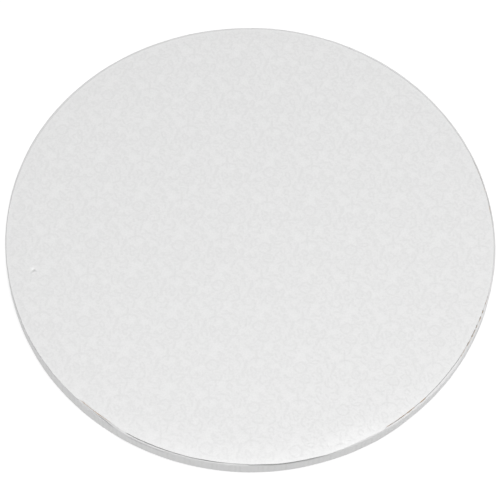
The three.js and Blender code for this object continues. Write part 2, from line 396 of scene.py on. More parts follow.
def rose_and_leaves():
    """The open rose, the half-closed one below it, and the leaves, curl and stems around them."""
    return [
        stroke(
            [(-21.3, 17.9), (-20.2, 15.7), (-18.6, 14.5), (-16.8, 14.1), (-15.2, 14.7), (-14.0, 15.9)], 1.5),
        stroke([(-21.3, 17.9), (-19.7, 19.5), (-18.3, 20.7), (-16.6, 21.3), (-15.0, 20.6)], 1.6),
        stroke([(-14.9, 20.4), (-13.7, 19.4), (-13.4, 17.8), (-13.8, 16.3)], 2.4),
        dab((-18.9, 18.7), (-15.6, 17.2), 4.2, 0.42),
        stroke([(-18.3, 18.2), (-17.2, 19.2), (-16.2, 18.4)], 1.0, 0.6),
        stroke([(-18.7, 10.5), (-17.1, 11.9), (-14.8, 13.2), (-12.7, 13.0), (-11.2, 11.4)], 1.5, 0.75),
        stroke([(-11.1, 11.2), (-11.2, 9.6), (-11.7, 8.6)], 2.0),
        stroke([(-11.6, 8.5), (-13.5, 7.9), (-16.1, 8.2), (-17.5, 9.2)], 2.1),
        dab((-18.1, 10.8), (-12.4, 10.6), 4.4, 0.55),
        stroke([(-13.6, 26.6), (-12.0, 25.8), (-10.1, 24.5)], 2.1),
        stroke([(-13.6, 26.4), (-13.4, 24.2), (-12.7, 22.5), (-11.2, 21.1), (-10.2, 20.9)], 1.7, 0.9),
        dab((-12.2, 24.6), (-10.8, 21.8), 2.4, 0.5),
        stroke(
            [(-10.2, 22.2), (-7.8, 23.0), (-6.3, 22.5), (-7.2, 20.9), (-8.6, 20.4), (-10.6, 20.9)], 1.4, 0.9),
        stroke([(-13.2, 20.3), (-11.9, 21.2)], 1.4, 0.7),
        stroke([(-12.7, 19.1), (-10.6, 18.9), (-8.9, 17.7)], 1.4, 0.6),
        dab((-11.3, 16.2), (-10.5, 15.9), 1.4, 0.5),
        ring(-5.7, 16.2, 2.6, 4.1, 1.6, 1.0, lean=0.25),
        stroke([(-6.5, 14.6), (-6.3, 13.0), (-5.2, 12.2)], 1.8, 0.55),
        stroke([(-4.7, 14.2), (-4.1, 12.4), (-3.8, 10.4), (-4.8, 8.6), (-6.5, 8.0)], 1.7),
        stroke([(-6.2, 8.1), (-8.2, 7.3)], 2.1),
        dab((-7.2, 11.2), (-6.8, 9.6), 1.6, 0.75),
        stroke([(-8.5, 14.9), (-10.1, 13.3), (-8.8, 11.9)], 1.5, 0.9),
        stroke([(-14.7, 6.6), (-14.1, 4.6), (-14.9, 2.9)], 1.6, 0.75),
        dab((-14.4, 4.2), (-15.2, 0.9), 1.9),
        dab((-18.9, 4.7), (-16.0, 4.5), 2.2, 0.75),
        dab((-18.3, 3.0), (-18.0, 2.2), 1.4, 0.6),
        dab((-20.0, 9.6), (-19.8, 6.9), 1.7, 0.85),
        dab((-21.4, 6.7), (-21.0, 5.6), 1.4, 0.5),
    ]


def small_rose_and_bud():
    """The smaller rose, the spray above it, its leaves, and the bud on the stem at its right."""
    return [
        stroke([(15.4, 17.0), (17.2, 17.1), (18.5, 16.3), (18.7, 15.0), (17.9, 13.6)], 2.1),
        stroke([(15.0, 16.8), (14.0, 15.2), (13.9, 13.4), (14.6, 12.2), (16.6, 11.4)], 1.5, 0.9),
        dab((14.6, 14.6), (17.9, 13.6), 3.6, 0.5),
        stroke([(16.0, 15.6), (17.0, 14.4), (16.4, 13.0)], 1.1, 0.7),
        dab((14.6, 18.4), (17.3, 20.2), 3.8, 0.85),
        dab((13.6, 17.9), (14.5, 18.0), 1.4, 0.6),
        dab((14.7, 22.5), (15.6, 21.6), 2.3),
        stroke([(15.9, 22.4), (16.6, 23.4), (17.6, 24.3)], 1.3, 0.5),
        stroke([(6.1, 21.9), (7.2, 23.1), (9.3, 23.8), (11.6, 23.5), (13.7, 23.3), (14.9, 22.2)], 1.7),
        dab((9.2, 28.6), (9.3, 23.2), 2.3),
        dab((9.4, 22.4), (9.4, 20.4), 1.8, 0.9),
        stroke(
            [(6.9, 14.3), (6.4, 15.6), (6.7, 17.1), (8.6, 16.6), (9.9, 15.1), (9.4, 13.6), (8.2, 13.6)], 1.8),
        stroke([(7.2, 12.8), (7.4, 11.2), (8.4, 10.4), (9.7, 11.2)], 1.7, 0.95),
        dab((8.6, 13.4), (8.9, 11.6), 2.2, 0.45),
        dab((12.1, 17.0), (11.4, 15.4), 1.6, 0.75),
        stroke([(10.2, 14.5), (11.8, 14.8), (13.6, 14.6)], 1.5, 0.65),
        stroke([(20.8, 14.2), (20.9, 15.6), (22.1, 17.0), (23.3, 15.6), (23.1, 13.8), (22.2, 12.2)], 1.7),
        dab((22.1, 15.6), (22.0, 13.0), 1.8, 0.4),
        stroke(
            [(17.4, 12.0), (20.0, 11.4), (22.2, 11.4), (25.0, 11.5), (28.0, 11.5), (30.4, 11.7)], 1.4, 0.85),
        dab((21.4, 11.6), (23.0, 11.3), 2.2),
        stroke([(26.3, 12.5), (27.3, 13.2), (28.2, 11.9)], 1.9),
        stroke([(21.2, 10.7), (24.4, 9.6), (26.9, 9.1), (29.2, 9.8), (30.7, 11.2)], 1.3, 0.6),
        dab((30.6, 11.7), (31.9, 12.0), 2.3),
        dab((31.0, 13.0), (30.4, 14.9), 1.7, 0.85),
        dab((31.6, 12.6), (33.2, 14.0), 1.6, 0.75),
        dab((19.8, 11.0), (17.8, 7.6), 3.4, 0.9),
        stroke([(18.3, 7.6), (17.5, 6.1), (16.2, 5.0), (16.9, 3.6)], 2.0),
        dab((15.4, 9.2), (17.1, 8.8), 1.4, 0.65),
        stroke([(12.3, 11.6), (11.9, 9.2), (12.6, 7.3), (13.8, 6.8)], 2.0),
        stroke([(13.8, 6.8), (15.2, 7.6), (15.9, 8.8)], 1.4, 0.7),
        stroke([(11.5, 9.4), (10.2, 8.4), (9.7, 6.4)], 1.6, 0.85),
        dab((24.7, 9.9), (24.2, 7.2), 1.9, 0.8),
    ]


def sprays_and_scrolls():
    """The sprays of small leaves, the scrolls and the tulip that fill the ground between the roses."""
    return [
        dab((3.7, 21.6), (2.6, 16.2), 3.4),
        stroke([(2.2, 16.2), (1.4, 13.4), (2.1, 10.6)], 2.1, 0.95),
        stroke([(1.9, 13.4), (4.2, 13.3), (5.2, 10.8)], 1.6, 0.85),
        dab((4.2, 15.0), (4.7, 12.8), 1.5, 0.85),
        dab((1.3, 22.2), (2.1, 21.1), 2.0, 0.95),
        dab((-1.4, 15.3), (-2.4, 13.6), 1.5, 0.5),
        stroke([(-1.9, 21.6), (-2.7, 24.0), (-2.2, 25.6), (-0.9, 25.8), (0.4, 24.0)], 1.8),
        dab((-1.2, 24.8), (-1.6, 22.4), 2.2, 0.6),
        stroke([(-3.6, 21.6), (-1.8, 21.6), (-0.7, 20.6)], 1.7, 0.7),
        dab((-3.4, 20.0), (-3.2, 19.0), 1.4, 0.4),
        dab((-0.9, 21.2), (-0.5, 17.3), 1.8),
        dab((-0.6, 11.8), (-0.4, 9.8), 1.9, 0.95),
        stroke([(-2.1, 8.9), (-1.7, 7.2), (-0.5, 5.7)], 1.9),
        dab((-0.5, 9.8), (-0.4, 6.6), 2.8, 0.65),
        dab((-1.8, 6.4), (-1.8, 2.4), 1.5, 0.35),
        stroke([(0.5, 6.0), (2.0, 5.1), (3.5, 5.6), (4.4, 7.2)], 1.5, 0.8),
        stroke([(4.3, 8.8), (5.7, 7.0), (6.1, 5.2), (5.2, 3.5)], 1.7, 0.95),
        dab((6.0, 7.4), (7.2, 8.0), 1.4, 0.6),
        dab((0.9, 2.1), (3.7, 2.1), 2.0, 0.95),
        dab((4.3, 2.9), (6.0, 1.0), 2.2),
        dab((6.8, 2.3), (8.2, 2.6), 1.6, 0.8),
        stroke([(-7.6, 3.6), (-6.8, 5.4), (-5.6, 5.5), (-4.5, 4.0)], 1.9),
        stroke([(-7.8, 2.9), (-6.4, 2.3), (-5.2, 2.5)], 1.8, 0.9),
        dab((-4.8, 2.4), (-4.3, 0.5), 1.8, 0.85),
        dab((20.4, 7.2), (20.9, 4.6), 1.8, 0.7),
        dab((19.3, 4.4), (19.8, 3.3), 1.9, 0.9),
        dab((22.0, 4.8), (23.8, 1.8), 4.2, 0.9),
        stroke([(23.6, 2.2), (25.1, 1.7)], 1.5, 0.7),
        dab((15.8, 1.9), (18.8, 1.5), 1.9, 0.95),
        stroke([(17.7, 0.0), (19.4, 0.6), (21.1, 0.5)], 1.6, 0.8),
        dab((21.0, 0.7), (21.4, -1.6), 1.9, 0.95),
        stroke([(27.9, 6.8), (29.6, 4.9), (31.6, 3.9), (32.3, 2.9)], 2.0),
        dab((27.6, 3.4), (29.5, 4.5), 1.6, 0.7),
        dab((31.4, 7.3), (31.6, 4.8), 1.6, 0.75),
        dab((31.8, 4.2), (33.6, 4.7), 1.6, 0.8),
        dab((31.6, 2.6), (33.4, 1.9), 2.3),
        dab((23.8, 20.4), (25.1, 17.7), 2.2),
        dab((28.4, 19.8), (27.7, 17.8), 2.1),
        stroke([(24.8, 24.2), (24.0, 22.6), (24.0, 20.4)], 1.9, 0.75),
        dab((25.8, 24.6), (26.0, 20.2), 2.6, 0.55),
        dab((27.2, 22.8), (27.0, 20.4), 1.6, 0.4),
        stroke([(28.5, 23.6), (28.2, 21.4), (28.5, 19.6)], 1.7, 0.8),
        stroke([(31.2, 22.6), (31.2, 20.8), (29.9, 19.3)], 1.8, 0.7),
        stroke([(29.4, 25.1), (30.8, 23.3), (30.9, 22.4)], 2.0, 0.95),
        dab((30.4, 24.2), (32.7, 25.1), 2.0, 0.95),
        stroke([(19.5, 23.4), (20.5, 22.3), (21.6, 21.7), (23.2, 21.5)], 1.9),
        dab((20.4, 27.4), (22.4, 23.9), 1.9),
        dab((24.2, 26.0), (25.0, 25.7), 1.8, 0.6),
        dab((25.8, 27.9), (27.4, 25.9), 2.2),
        dab((13.2, 25.6), (15.9, 25.9), 1.9, 0.9),
        stroke([(15.6, 27.8), (17.0, 26.5), (19.4, 26.0)], 2.1),
        dab((-8.2, 26.6), (-6.0, 26.4), 2.0, 0.8),
        dab((-5.2, 27.4), (-4.8, 24.6), 1.7, 0.9),
    ]


def pressed_share(points, segments):
    """How deep the press goes at each point. A stroke has its full share to FLOOR_SHARE of its half width,
    nothing past it and half a cosine wave between; round it lies a wider, shallower dip of the same form.
    The deepest stroke counts for each, and the two are added."""
    start, along = segments[:, :2], segments[:, 4:6] - segments[:, :2]
    t = np.clip(((points[:, None] - start) * along).sum(2) / (along**2).sum(1), 0, 1)
    away = np.linalg.norm(points[:, None] - start - t[..., None] * along, axis=2)
    half = segments[:, 2] + t * (segments[:, 6] - segments[:, 2])
    share = segments[:, 3] + t * (segments[:, 7] - segments[:, 3])
    total = 0
    for reach, peak, depth in ((half, share, 1 - DIP_SHARE), (half + DIP_REACH, share**0.5, DIP_SHARE)):
        t = np.clip((away / reach - FLOOR_SHARE) / (1 - FLOOR_SHARE), 0, 1)
        total = total + depth * (peak * (1 + np.cos(math.pi * t)) / 2).max(1)
    return total


def wrapped(points, cell):
    """The points moved by whole repeats into the one that starts at the middle of the board."""
    return ((points @ np.linalg.inv(cell).T) % 1) @ cell.T


def stroke_points(strokes):
    """Mesh points of the strokes: a row of four across each at every station, and one past each end."""
    rows = []
    for line in strokes:
        ahead = np.gradient(line[:, :2], axis=0)
        ahead /= np.linalg.norm(ahead, axis=1)[:, None]
        side = np.stack([-ahead[:, 1], ahead[:, 0]], 1)
        rows += [line[:, :2] + offset * line[:, 2:3] * side for offset in ACROSS_STROKE]
        rows.append(line[:1, :2] - ahead[:1] * line[:1, 2:3])
        rows.append(line[-1:, :2] + ahead[-1:] * line[-1:, 2:3])
    return np.concatenate(rows)


def one_repeat(line_width):
    """Points of one repeat with their pressed share and its slope towards x and y.

    They are the strokes' own points, and a coarse grid on the ground. Where strokes meet, only one point is
    kept of those that fall in one small cell. The slope is the difference of the share over a small step."""
    strokes = rose_and_leaves() + small_rose_and_bud() + sprays_and_scrolls()
    for line in strokes:
        line[:, 2] *= line_width
    cell = np.stack([REPEAT_ALONG, REPEAT_DROP], 1)
    segments = np.concatenate([np.concatenate([line[:-1], line[1:]], 1) for line in strokes])
    steps = [i * REPEAT_ALONG + j * REPEAT_DROP for i in (-1, 0, 1) for j in (-2, -1, 0, 1, 2)]
    tiled = np.concatenate([segments + np.tile(np.append(step, [0, 0]), 2) for step in steps])

    cell_size = np.array([np.linalg.norm(REPEAT_ALONG), np.linalg.norm(REPEAT_DROP)])
    along, down = (round(length / GROUND_STEP) for length in cell_size)
    u, v = np.meshgrid((np.arange(along) + 0.5) / along, (np.arange(down) + 0.5) / down)
    ground = np.stack([u.ravel(), v.ravel()], 1) @ cell.T
    ground = ground[pressed_share(wrapped(ground, cell), tiled) < GROUND_SHARE]
    points = wrapped(np.concatenate([stroke_points(strokes), ground]), cell)

    bins = cell_size // NEAREST_POINTS
    for shift in (0.0, 0.5):
        spot = np.floor((points @ np.linalg.inv(cell).T) % 1 * bins + shift) % bins
        kept = np.unique(spot @ [bins[1], 1.0], return_index=True)[1]
        points = points[kept]
    slope = [(pressed_share(points + move, tiled) - pressed_share(points - move, tiled)) / (2 * PRESS_NUDGE)
             for move in ([PRESS_NUDGE, 0], [0, PRESS_NUDGE])]
    return points, pressed_share(points, tiled), np.stack(slope, 1)


def build_mesh(name, vertices, faces, normals=None, attributes=None):
    """A mesh object from vertices in millimetres and faces, with its corner normals and point attributes."""
    mesh = bpy.data.meshes.new(name)
    faces = faces.tolist() if isinstance(faces, np.ndarray) else faces
    mesh.from_pydata((vertices * MM).tolist(), [], faces)
    mesh.shade_smooth()
    for key, values in (attributes or {}).items():
        mesh.attributes.new(key, "FLOAT", "POINT").data.foreach_set("value", values.astype(np.float32))
    if normals is not None:
        mesh.normals_split_custom_set(normals.tolist())
    mesh.validate()
    obj = bpy.data.objects.new(name, mesh)
    bpy.context.scene.collection.objects.link(obj)
    return obj


def finish_piece(obj, node, material):
    """Rides the piece on the board, hides the CAD node that it stands for and gives it its material."""
    obj.data.materials.append(material)
    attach(obj, "root")
    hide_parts(node)


def sheet_points(line_width):
    """The points of the top sheet's face on a flat disc, with their pressed share and its slope.

    They are the repeats of the embossing, a finer lattice around the dent, one sparser ring, and the points
    of the rim, which come last."""
    points, share, slope = one_repeat(line_width)
    reach = range(-REPEATS_OUT, REPEATS_OUT + 1)
    steps = np.array([i * REPEAT_ALONG + j * REPEAT_DROP for i in reach for j in reach])
    flat = (points[None] + steps[:, None]).reshape(-1, 2)
    share = np.tile(share, len(steps))
    slope = np.tile(slope, (len(steps), 1))
    inside = np.hypot(*flat.T) < DISC_RADIUS - DISC_MARGIN
    inside &= np.hypot(*(flat - DENT_PLACE).T) > DENT_MESH

    lattice = np.arange(-DENT_ROWS, DENT_ROWS + 1)
    across, along = np.meshgrid(lattice, lattice)
    dent = np.stack([(across + 0.5 * (along % 2)).ravel(), along.ravel() * DENT_ROW_STEP], 1)
    dent = dent * DENT_STEP * DENT_REACH
    dent = dent[np.hypot(*dent.T) < DENT_MESH - DENT_MARGIN] + DENT_PLACE
    circle = circle_of(EDGE_POINTS)[1]
    plain = np.concatenate([dent, circle[::2] * (DISC_RADIUS - DISC_RING), circle * DISC_RADIUS])
    flat = np.concatenate([flat[inside], plain])
    share = np.concatenate([share[inside], np.zeros(len(plain))])
    slope = np.concatenate([slope[inside], np.zeros((len(plain), 2))])
    return flat, share, slope


def near_rim(radius, width):
    """0 inside the disc, and up to 1 at its rim over the width, as a smooth step."""
    return smooth_step((radius - DISC_RADIUS + width) / width)


def sheet_face(flat, share, slope, depth):
    """The vertices, normals and pressed values of the top sheet's face from its points on the disc.

    Near the rim they move to the edge's own radius, and the embossing fades. The height is the level top
    less the pressed depth, the fall to the edge and the dent, which is a bell; the normal leans by the slope
    of each. The pressed value is the share pressed in, more where the painted shade of the dent lies, and
    down to -1 at the dent's painted highlight."""
    radius = np.hypot(*flat.T)
    angle = np.arctan2(flat[:, 1], flat[:, 0])
    outward = flat / np.maximum(radius, 1)[:, None]
    shift = (sheet_edge_radius(angle) - DISC_RADIUS) * near_rim(radius, MOVE_WIDTH)
    fade = 1 - near_rim(radius, EMBOSS_FADE)
    fall = sheet_fall(radius + shift, angle)
    roll = (sheet_fall(radius + shift + ROLL_NUDGE, angle) - fall) / ROLL_NUDGE
    from_dent = flat - DENT_PLACE
    dip = DENT_DEPTH * np.exp(-((from_dent**2).sum(1) / DENT_REACH**2))
    face = np.column_stack([flat + outward * shift[:, None], TOP_LEVEL - depth * share * fade - fall - dip])

    tilt = depth * slope * fade[:, None] + outward * roll[:, None]
    tilt = tilt - from_dent * (2 * dip / DENT_REACH**2)[:, None]
    normal = np.column_stack([tilt, np.ones(len(flat))])
    normal /= np.linalg.norm(normal, axis=1)[:, None]

    # Painted shade on the dent's front side and a painted highlight on its back side, both in the pressed
    # value.
    painted_shade = PAINTED_SHADE_STRENGTH * np.maximum(pressed_share(from_dent, PAINTED_SHADE_STROKES) - DIP_SHARE, 0)
    painted_highlight = np.exp(-((from_dent - PAINTED_HIGHLIGHT_PLACE) ** 2).sum(1) / PAINTED_HIGHLIGHT_REACH**2)
    return face, normal, share * fade + painted_shade - np.where(painted_shade > 0, 0, painted_highlight)


def embossed_sheet_mesh(sizes):
    """The top sheet as a closed skin. Its face is the Delaunay mesh of its points; a wall and a coarser
    underside, which is rings around a middle point, close it."""
    paper = sizes.sheet_paper / MM
    flat, share, slope = sheet_points(sizes.line_width)
    points = [Vector(point) for point in flat.tolist()]
    corners, _, faces, _, _, _ = delaunay_2d_cdt(points, [], [], 0, NO_DISTANCE, False)
    if len(corners) != len(flat):
        raise RuntimeError("the face of the embossed sheet lost points in its triangulation")
    top, top_normal, pressed = sheet_face(flat, share, slope, sizes.emboss_depth / MM)
    faces = np.array(faces)
    turned = np.cross(top[faces[:, 1]] - top[faces[:, 0]], top[faces[:, 2]] - top[faces[:, 0]])
    faces = np.where(turned[:, 2:] < 0, faces[:, ::-1], faces)

    angles, circle = circle_of(EDGE_POINTS)
    edge_radius = np.hypot(*top[-EDGE_POINTS:, :2].T)
    rings = []
    for inset, thickness in UNDER_RINGS:
        radius = edge_radius - inset
        level = TOP_LEVEL - sheet_fall(radius, angles) - paper * thickness
        rings.append(np.column_stack([circle * radius[:, None], level]))
    vertices = np.concatenate([top, *rings, [[0, 0, TOP_LEVEL - paper]]])

    step = np.arange(EDGE_POINTS)
    after = (step + 1) % EDGE_POINTS
    rows = [len(top) + k * EDGE_POINTS for k in range(-1, len(rings))]
    sides = []
    for upper, lower in zip(rows[:-1], rows[1:]):
        sides.append(np.stack([upper + step, lower + step, lower + after], 1))
        sides.append(np.stack([upper + step, lower + after, upper + after], 1))
    sides.append(np.stack([rows[-1] + step, np.full(EDGE_POINTS, len(vertices) - 1), rows[-1] + after], 1))
    sides = np.concatenate(sides)
    outward = np.column_stack([circle, np.zeros(EDGE_POINTS)])
    wall = np.concatenate([np.stack([outward[step], outward[step], outward[after]], 1),
                           np.stack([outward[step], outward[after], outward[after]], 1)])
    below = np.tile([0.0, 0.0, -1.0], ((len(sides) - len(wall)) * 3, 1))
    normals = np.concatenate([top_normal[faces].reshape(-1, 3), wall.reshape(-1, 3), below])
    pressed = np.concatenate([pressed, np.zeros(len(vertices) - len(top))])
    faces = np.concatenate([faces, sides])
    return build_mesh("embossed_sheet", vertices, faces, normals, {"pressed": pressed})


def band_reach(angles):
    """How far out the band's wall stands at its foot and at its head: the round with small waves and the
    foot's shift, and that less the lean."""
    uneven = BAND_RADIUS + waves(angles, (5, 0.04, 0.8), (13, 0.03, 2.2), (29, 0.03, 4.0), (61, 0.02, 1.0))
    foot = uneven + around(angles, FOOT_SHIFT)
    return foot, foot - around(angles, WALL_LEAN)


def wall_folds(angles):
    """How far in the upright folds of the wall reach: single ones, and fine waves all around."""
    folds = humps(angles, WALL_FOLDS) + waves(angles, (211, 0.02, 0)) * np.sin(angles * 37 + 2)
    return folds + waves(angles, (283, 0.022, 0.5), (347, 0.02, 1.5), (419, 0.015, 2.5))


def in_pleat(angles, count, pitch_waves):
    """Where each angle lies in its pleat, from 0 to 1: the angle with the waves in the pitch, in pleats,
    less its whole part."""
    return ((angles + waves(angles, *pitch_waves)) / TURN * count) % 1


def pleats(angles, count):
    """The height of the pleats, from 0 to 1: a leaning zigzag that varies around the circle."""
    t = in_pleat(angles, count, PITCH_WAVES)
    zigzag = np.where(t < PLEAT_LEAN, t / PLEAT_LEAN, (1 - t) / (1 - PLEAT_LEAN))
    return zigzag * (1 - PLEAT_VARIES + PLEAT_VARIES * np.sin(angles * 37 + 1) * np.sin(angles * 11))


def slant(radius, level):
    """How far out and down a point lies, along the line square to the view of the board's front edge."""
    return VIEW_OUT * radius - VIEW_DOWN * level


def bent(angles, paper, radius, level, a, more_shadow):
    """The point moved along its normal by the gap, the bead and the crease, with the painted shadow in them,
    but kept outside the corner of the core. Each of the three is a bell in the distance past the sheet's
    edge."""
    edge = sheet_edge_radius(angles)
    past_edge = slant(radius, level) - slant(edge, TOP_LEVEL - sheet_fall(edge, angles) - paper)
    gap = around(angles, GAP_DEPTH) + humps(angles, GAP_HOLLOWS)
    gap_half = around(angles, GAP_HALF)
    in_gap = bell(past_edge - GAP_MIDDLE * gap_half, gap_half)
    in_crease = around(angles, CREASE_DEPTH) * bell(past_edge - around(angles, CREASE_PLACE), CREASE_HALF)
    on_bead = around(angles, BEAD_HEIGHT) * bell(past_edge - BEAD_PLACE, BEAD_HALF)
    push = on_bead - gap * in_gap - CREASE_PUSH * in_crease
    in_shade = np.clip(around(angles, GAP_SHADE) * gap, 0, GAP_SHADE_LIMIT) * in_gap
    radius, level = radius + push * math.sin(a), level + push * math.cos(a)
    out, up = CORE_RADIUS + SIDE_ROOM - radius, CORE_TOP + TOP_ROOM - level
    hit = (out > 0) & (up > 0)
    radius, level = radius + np.where(hit & (out < up), out, 0), level + np.where(hit & (out >= up), up, 0)
    return radius, level, in_shade + in_crease + more_shadow


def band_profile(angles, sizes):
    """Radius, level and shadow of the band's outer skin at each step (rows) and angle (columns).

    From the turned-over edge on top it runs out to the shoulder, round an elliptical shoulder, down the wall,
    round the lower shoulder and in again underneath. The pleats are a leaning zigzag in the turned margins.
    The shadow, painted into the band's colour, is 0 in the open and nears 1 deep in the gap and in the
    creases of the wall."""
    paper = sizes.sheet_paper / MM
    turn_in = BAND_RADIUS - sizes.band_turn / MM
    rise = sizes.pleat_rise / MM
    zigzag = pleats(angles, sizes.pleat_count)
    folds = wall_folds(angles)
    foot, head = band_reach(angles)
    wide = sizes.shoulder_width / MM * around(angles, SHOULDER_WIDTH)
    wide = np.maximum(wide, head - sheet_edge_radius(angles) + SHOULDER_UNDER)
    tall = around(angles, SHOULDER_HEIGHT)
    boxy = around(angles, SHOULDER_POWER)
    low_wide = around(angles, LOW_SHOULDER_WIDTH)
    low_tall = LOW_SHOULDER_RATIO * low_wide
    none = np.zeros_like(angles)

    rows = []
    for k in np.linspace(0, 1, TURN_ROWS + 1)[:-1]:
        radius = turn_in + k * (head - wide - turn_in)
        fold = rise * (zigzag - 1) * (1 - (1 - PLEAT_LEFT) * k)
        rows.append((radius, BAND_TOP - np.minimum(sheet_fall(radius, angles), MARGIN_SINK) + fold, none))
    start = BAND_TOP - np.minimum(sheet_fall(head - wide, angles), MARGIN_SINK) - SHOULDER_DROP
    for a in np.linspace(0, math.pi / 2, SHOULDER_ROWS):
        radius = head - wide * (1 - math.sin(a) ** boxy)
        fold = rise * PLEAT_LEFT * (zigzag - 1) * (1 - math.sin(a))
        level = start - tall * (1 - max(math.cos(a), 0) ** boxy) + fold
        rows.append(bent(angles, paper, radius, level, a, none))
    wall_top = start - tall
    for k in np.linspace(0, 1, WALL_ROWS + 2)[1:-1]:
        fade = 1 - FOLD_LOSS * k
        hollow = math.sin(math.pi * k) * (waves(angles, (9, 0.06, 2)) - WALL_HOLLOW)
        radius = head + k * (foot - head) + hollow - folds * fade
        level = wall_top + k * (BAND_BOTTOM + low_tall - wall_top)
        # Painted shade in the upright folds of the wall.
        painted_fold_shade = np.clip(folds * FOLD_SHADE, 0, 1) * fade
        rows.append(bent(angles, paper, radius, level, math.pi / 2, painted_fold_shade))
    for a in np.linspace(0, math.pi / 2, LOW_ROWS):
        radius = foot - low_wide * (1 - math.cos(a))
        fold = rise * PLEAT_LEFT * (1 - zigzag) * math.sin(a)
        level = BAND_BOTTOM + low_tall * (1 - math.sin(a)) + fold
        # Painted shade at the foot, where the band meets the floor.
        rows.append((radius, level, none + FOOT_SHADE * math.sin(a)))
    for k in np.linspace(1, 0, TURN_ROWS + 1)[1:]:
        radius = turn_in + k * (foot - low_wide - turn_in)
        rows.append((radius, BAND_BOTTOM + rise * (1 - zigzag) * (1 - (1 - PLEAT_LEFT) * k), none))
    return np.array(rows)


def band_angles():
    """The places of the band's columns around the circle, closer together where its wall has fine folds:
    the crowding is summed up in small steps, and the columns share the sum evenly."""
    steps = 10
    degrees = np.arange(360 * steps + 1) / steps
    run = np.concatenate([[0], np.cumsum(around(np.radians(degrees), CROWDING)[1:])])
    return np.radians(np.interp(np.arange(BAND_COLUMNS) * run[-1] / BAND_COLUMNS, run, degrees))


def gathered_band_mesh(sizes):
    """The band as a closed skin: its outer profile, and the same profile with fewer rows moved inwards by the
    paper's thickness along its normal, joined at the two turned-in edges."""
    angles = band_angles()
    profile = band_profile(angles, sizes)
    outer, shadow = profile[:, :2], profile[:, 2]
    ahead = np.gradient(outer, axis=0)
    ahead /= np.linalg.norm(ahead, axis=1)[:, None]
    inward = np.stack([ahead[:, 1], -ahead[:, 0]], 1)
    wall = TURN_ROWS + SHOULDER_ROWS
    foot = wall + WALL_ROWS
    last = len(outer) - 1
    kept = [0, *range(TURN_ROWS, wall), wall + WALL_ROWS // 2, foot, foot + LOW_ROWS - 1, last]
    inner = (outer + inward * sizes.band_paper / MM)[kept[::-1]]
    rows = np.concatenate([outer, inner])
    radius, level = rows[:, 0], rows[:, 1]
    vertices = np.stack([radius * np.cos(angles), radius * np.sin(angles), level], 2).reshape(-1, 3)
    count = len(rows)
    row, column = np.meshgrid(np.arange(count), np.arange(BAND_COLUMNS), indexing="ij")
    next_row, next_column = (row + 1) % count, (column + 1) % BAND_COLUMNS
    corner = [row * BAND_COLUMNS + column, next_row * BAND_COLUMNS + column,
              next_row * BAND_COLUMNS + next_column, row * BAND_COLUMNS + next_column]
    faces = np.stack([c.ravel() for c in corner], 1)
    shadow = np.concatenate([shadow.ravel(), np.zeros(len(vertices) - shadow.size)])
    return build_mesh("gathered_band", vertices, faces, attributes={"shadow": shadow})


def base_sheet_mesh(sizes):
    """The sheet underneath as a closed skin: rings of one radius each, flat but for its outer few
    millimetres, where it rises and takes up a little of the pleats above it."""
    paper = sizes.sheet_paper / MM
    columns = BASE_COLUMNS
    angles = circle_of(columns)[0]
    ripple = np.abs(2 * in_pleat(angles, sizes.pleat_count, PITCH_WAVES[:2]) - 1)
    edge = BASE_RADIUS + waves(angles, (4, 0.25, 1.1), (9, 0.12, 0.2), (23, 0.05, 2.0)) - BASE_INSET
    rows = []
    for inset, rise, side in BASE_RINGS:
        level = BASE_BOTTOM + paper * side + rise * (1 - BASE_RIPPLE + BASE_RIPPLE * ripple)
        rows.append((edge - inset, level))
    rows = np.array(rows)
    radius, level = rows[:, 0], rows[:, 1]
    vertices = np.stack([radius * np.cos(angles), radius * np.sin(angles), level], 2).reshape(-1, 3)
    row, column = np.meshgrid(np.arange(len(rows) - 1), np.arange(columns), indexing="ij")
    after = (column + 1) % columns
    faces = np.stack([(row * columns + column).ravel(), (row * columns + after).ravel(),
                      ((row + 1) * columns + after).ravel(), ((row + 1) * columns + column).ravel()], 1)
    faces = faces.tolist()
    faces.append(list(range(columns))[::-1])
    faces.append([(len(rows) - 1) * columns + k for k in range(columns)])
    return build_mesh("base_sheet_paper", vertices, faces)


# Materials. Every one is a Principled shader fed by procedural nodes on Object coordinates.


def new_material(name, roughness, gloss=0.5):
    """A new material with its node tree and its shader, which has the roughness and the specular level."""
    material = bpy.data.materials.new(name)
    material.use_nodes = True
    tree = material.node_tree
    shader = tree.nodes["Principled BSDF"]
    shader.inputs["Roughness"].default_value = roughness
    shader.inputs["Specular IOR Level"].default_value = gloss
    return material, tree, shader


def add_noise(tree, scale, detail=3.0, stretch=(1.0, 1.0, 1.0)):
    """The value of noise in Object coordinates; scale is in grains per metre."""
    coordinates = tree.nodes.new("ShaderNodeTexCoord")
    mapping = tree.nodes.new("ShaderNodeMapping")
    mapping.inputs["Scale"].default_value = stretch
    noise = tree.nodes.new("ShaderNodeTexNoise")
    noise.inputs["Scale"].default_value = scale
    noise.inputs["Detail"].default_value = detail
    tree.links.new(coordinates.outputs["Object"], mapping.inputs["Vector"])
    tree.links.new(mapping.outputs["Vector"], noise.inputs["Vector"])
    return noise.outputs["Fac"]


def blend_colour(tree, amount, low, high, first, second):
    """A mix from the first colour to the second as the amount goes from low to high."""
    spread = tree.nodes.new("ShaderNodeMapRange")
    spread.inputs["From Min"].default_value = low
    spread.inputs["From Max"].default_value = high
    mix = tree.nodes.new("ShaderNodeMix")
    mix.data_type = "RGBA"
    tree.links.new(amount, spread.inputs["Value"])
    tree.links.new(spread.outputs["Result"], mix.inputs["Factor"])
    for socket, colour in ((mix.inputs["A"], first), (mix.inputs["B"], second)):
        if hasattr(colour, "default_value"):
            tree.links.new(colour, socket)
        else:
            socket.default_value = (*colour, 1)
    return mix.outputs["Result"]


def shade(colour, factor):
    """The colour with its channels times a factor."""
    return tuple(channel * factor for channel in colour[:3])


def mottle(tree, grain, colour, darker, lighter):
    """A mix of two shades of the colour, given as factors, by the middle of the grain's range."""
    return blend_colour(tree, grain, *NOISE_RANGE, shade(colour, darker), shade(colour, lighter))


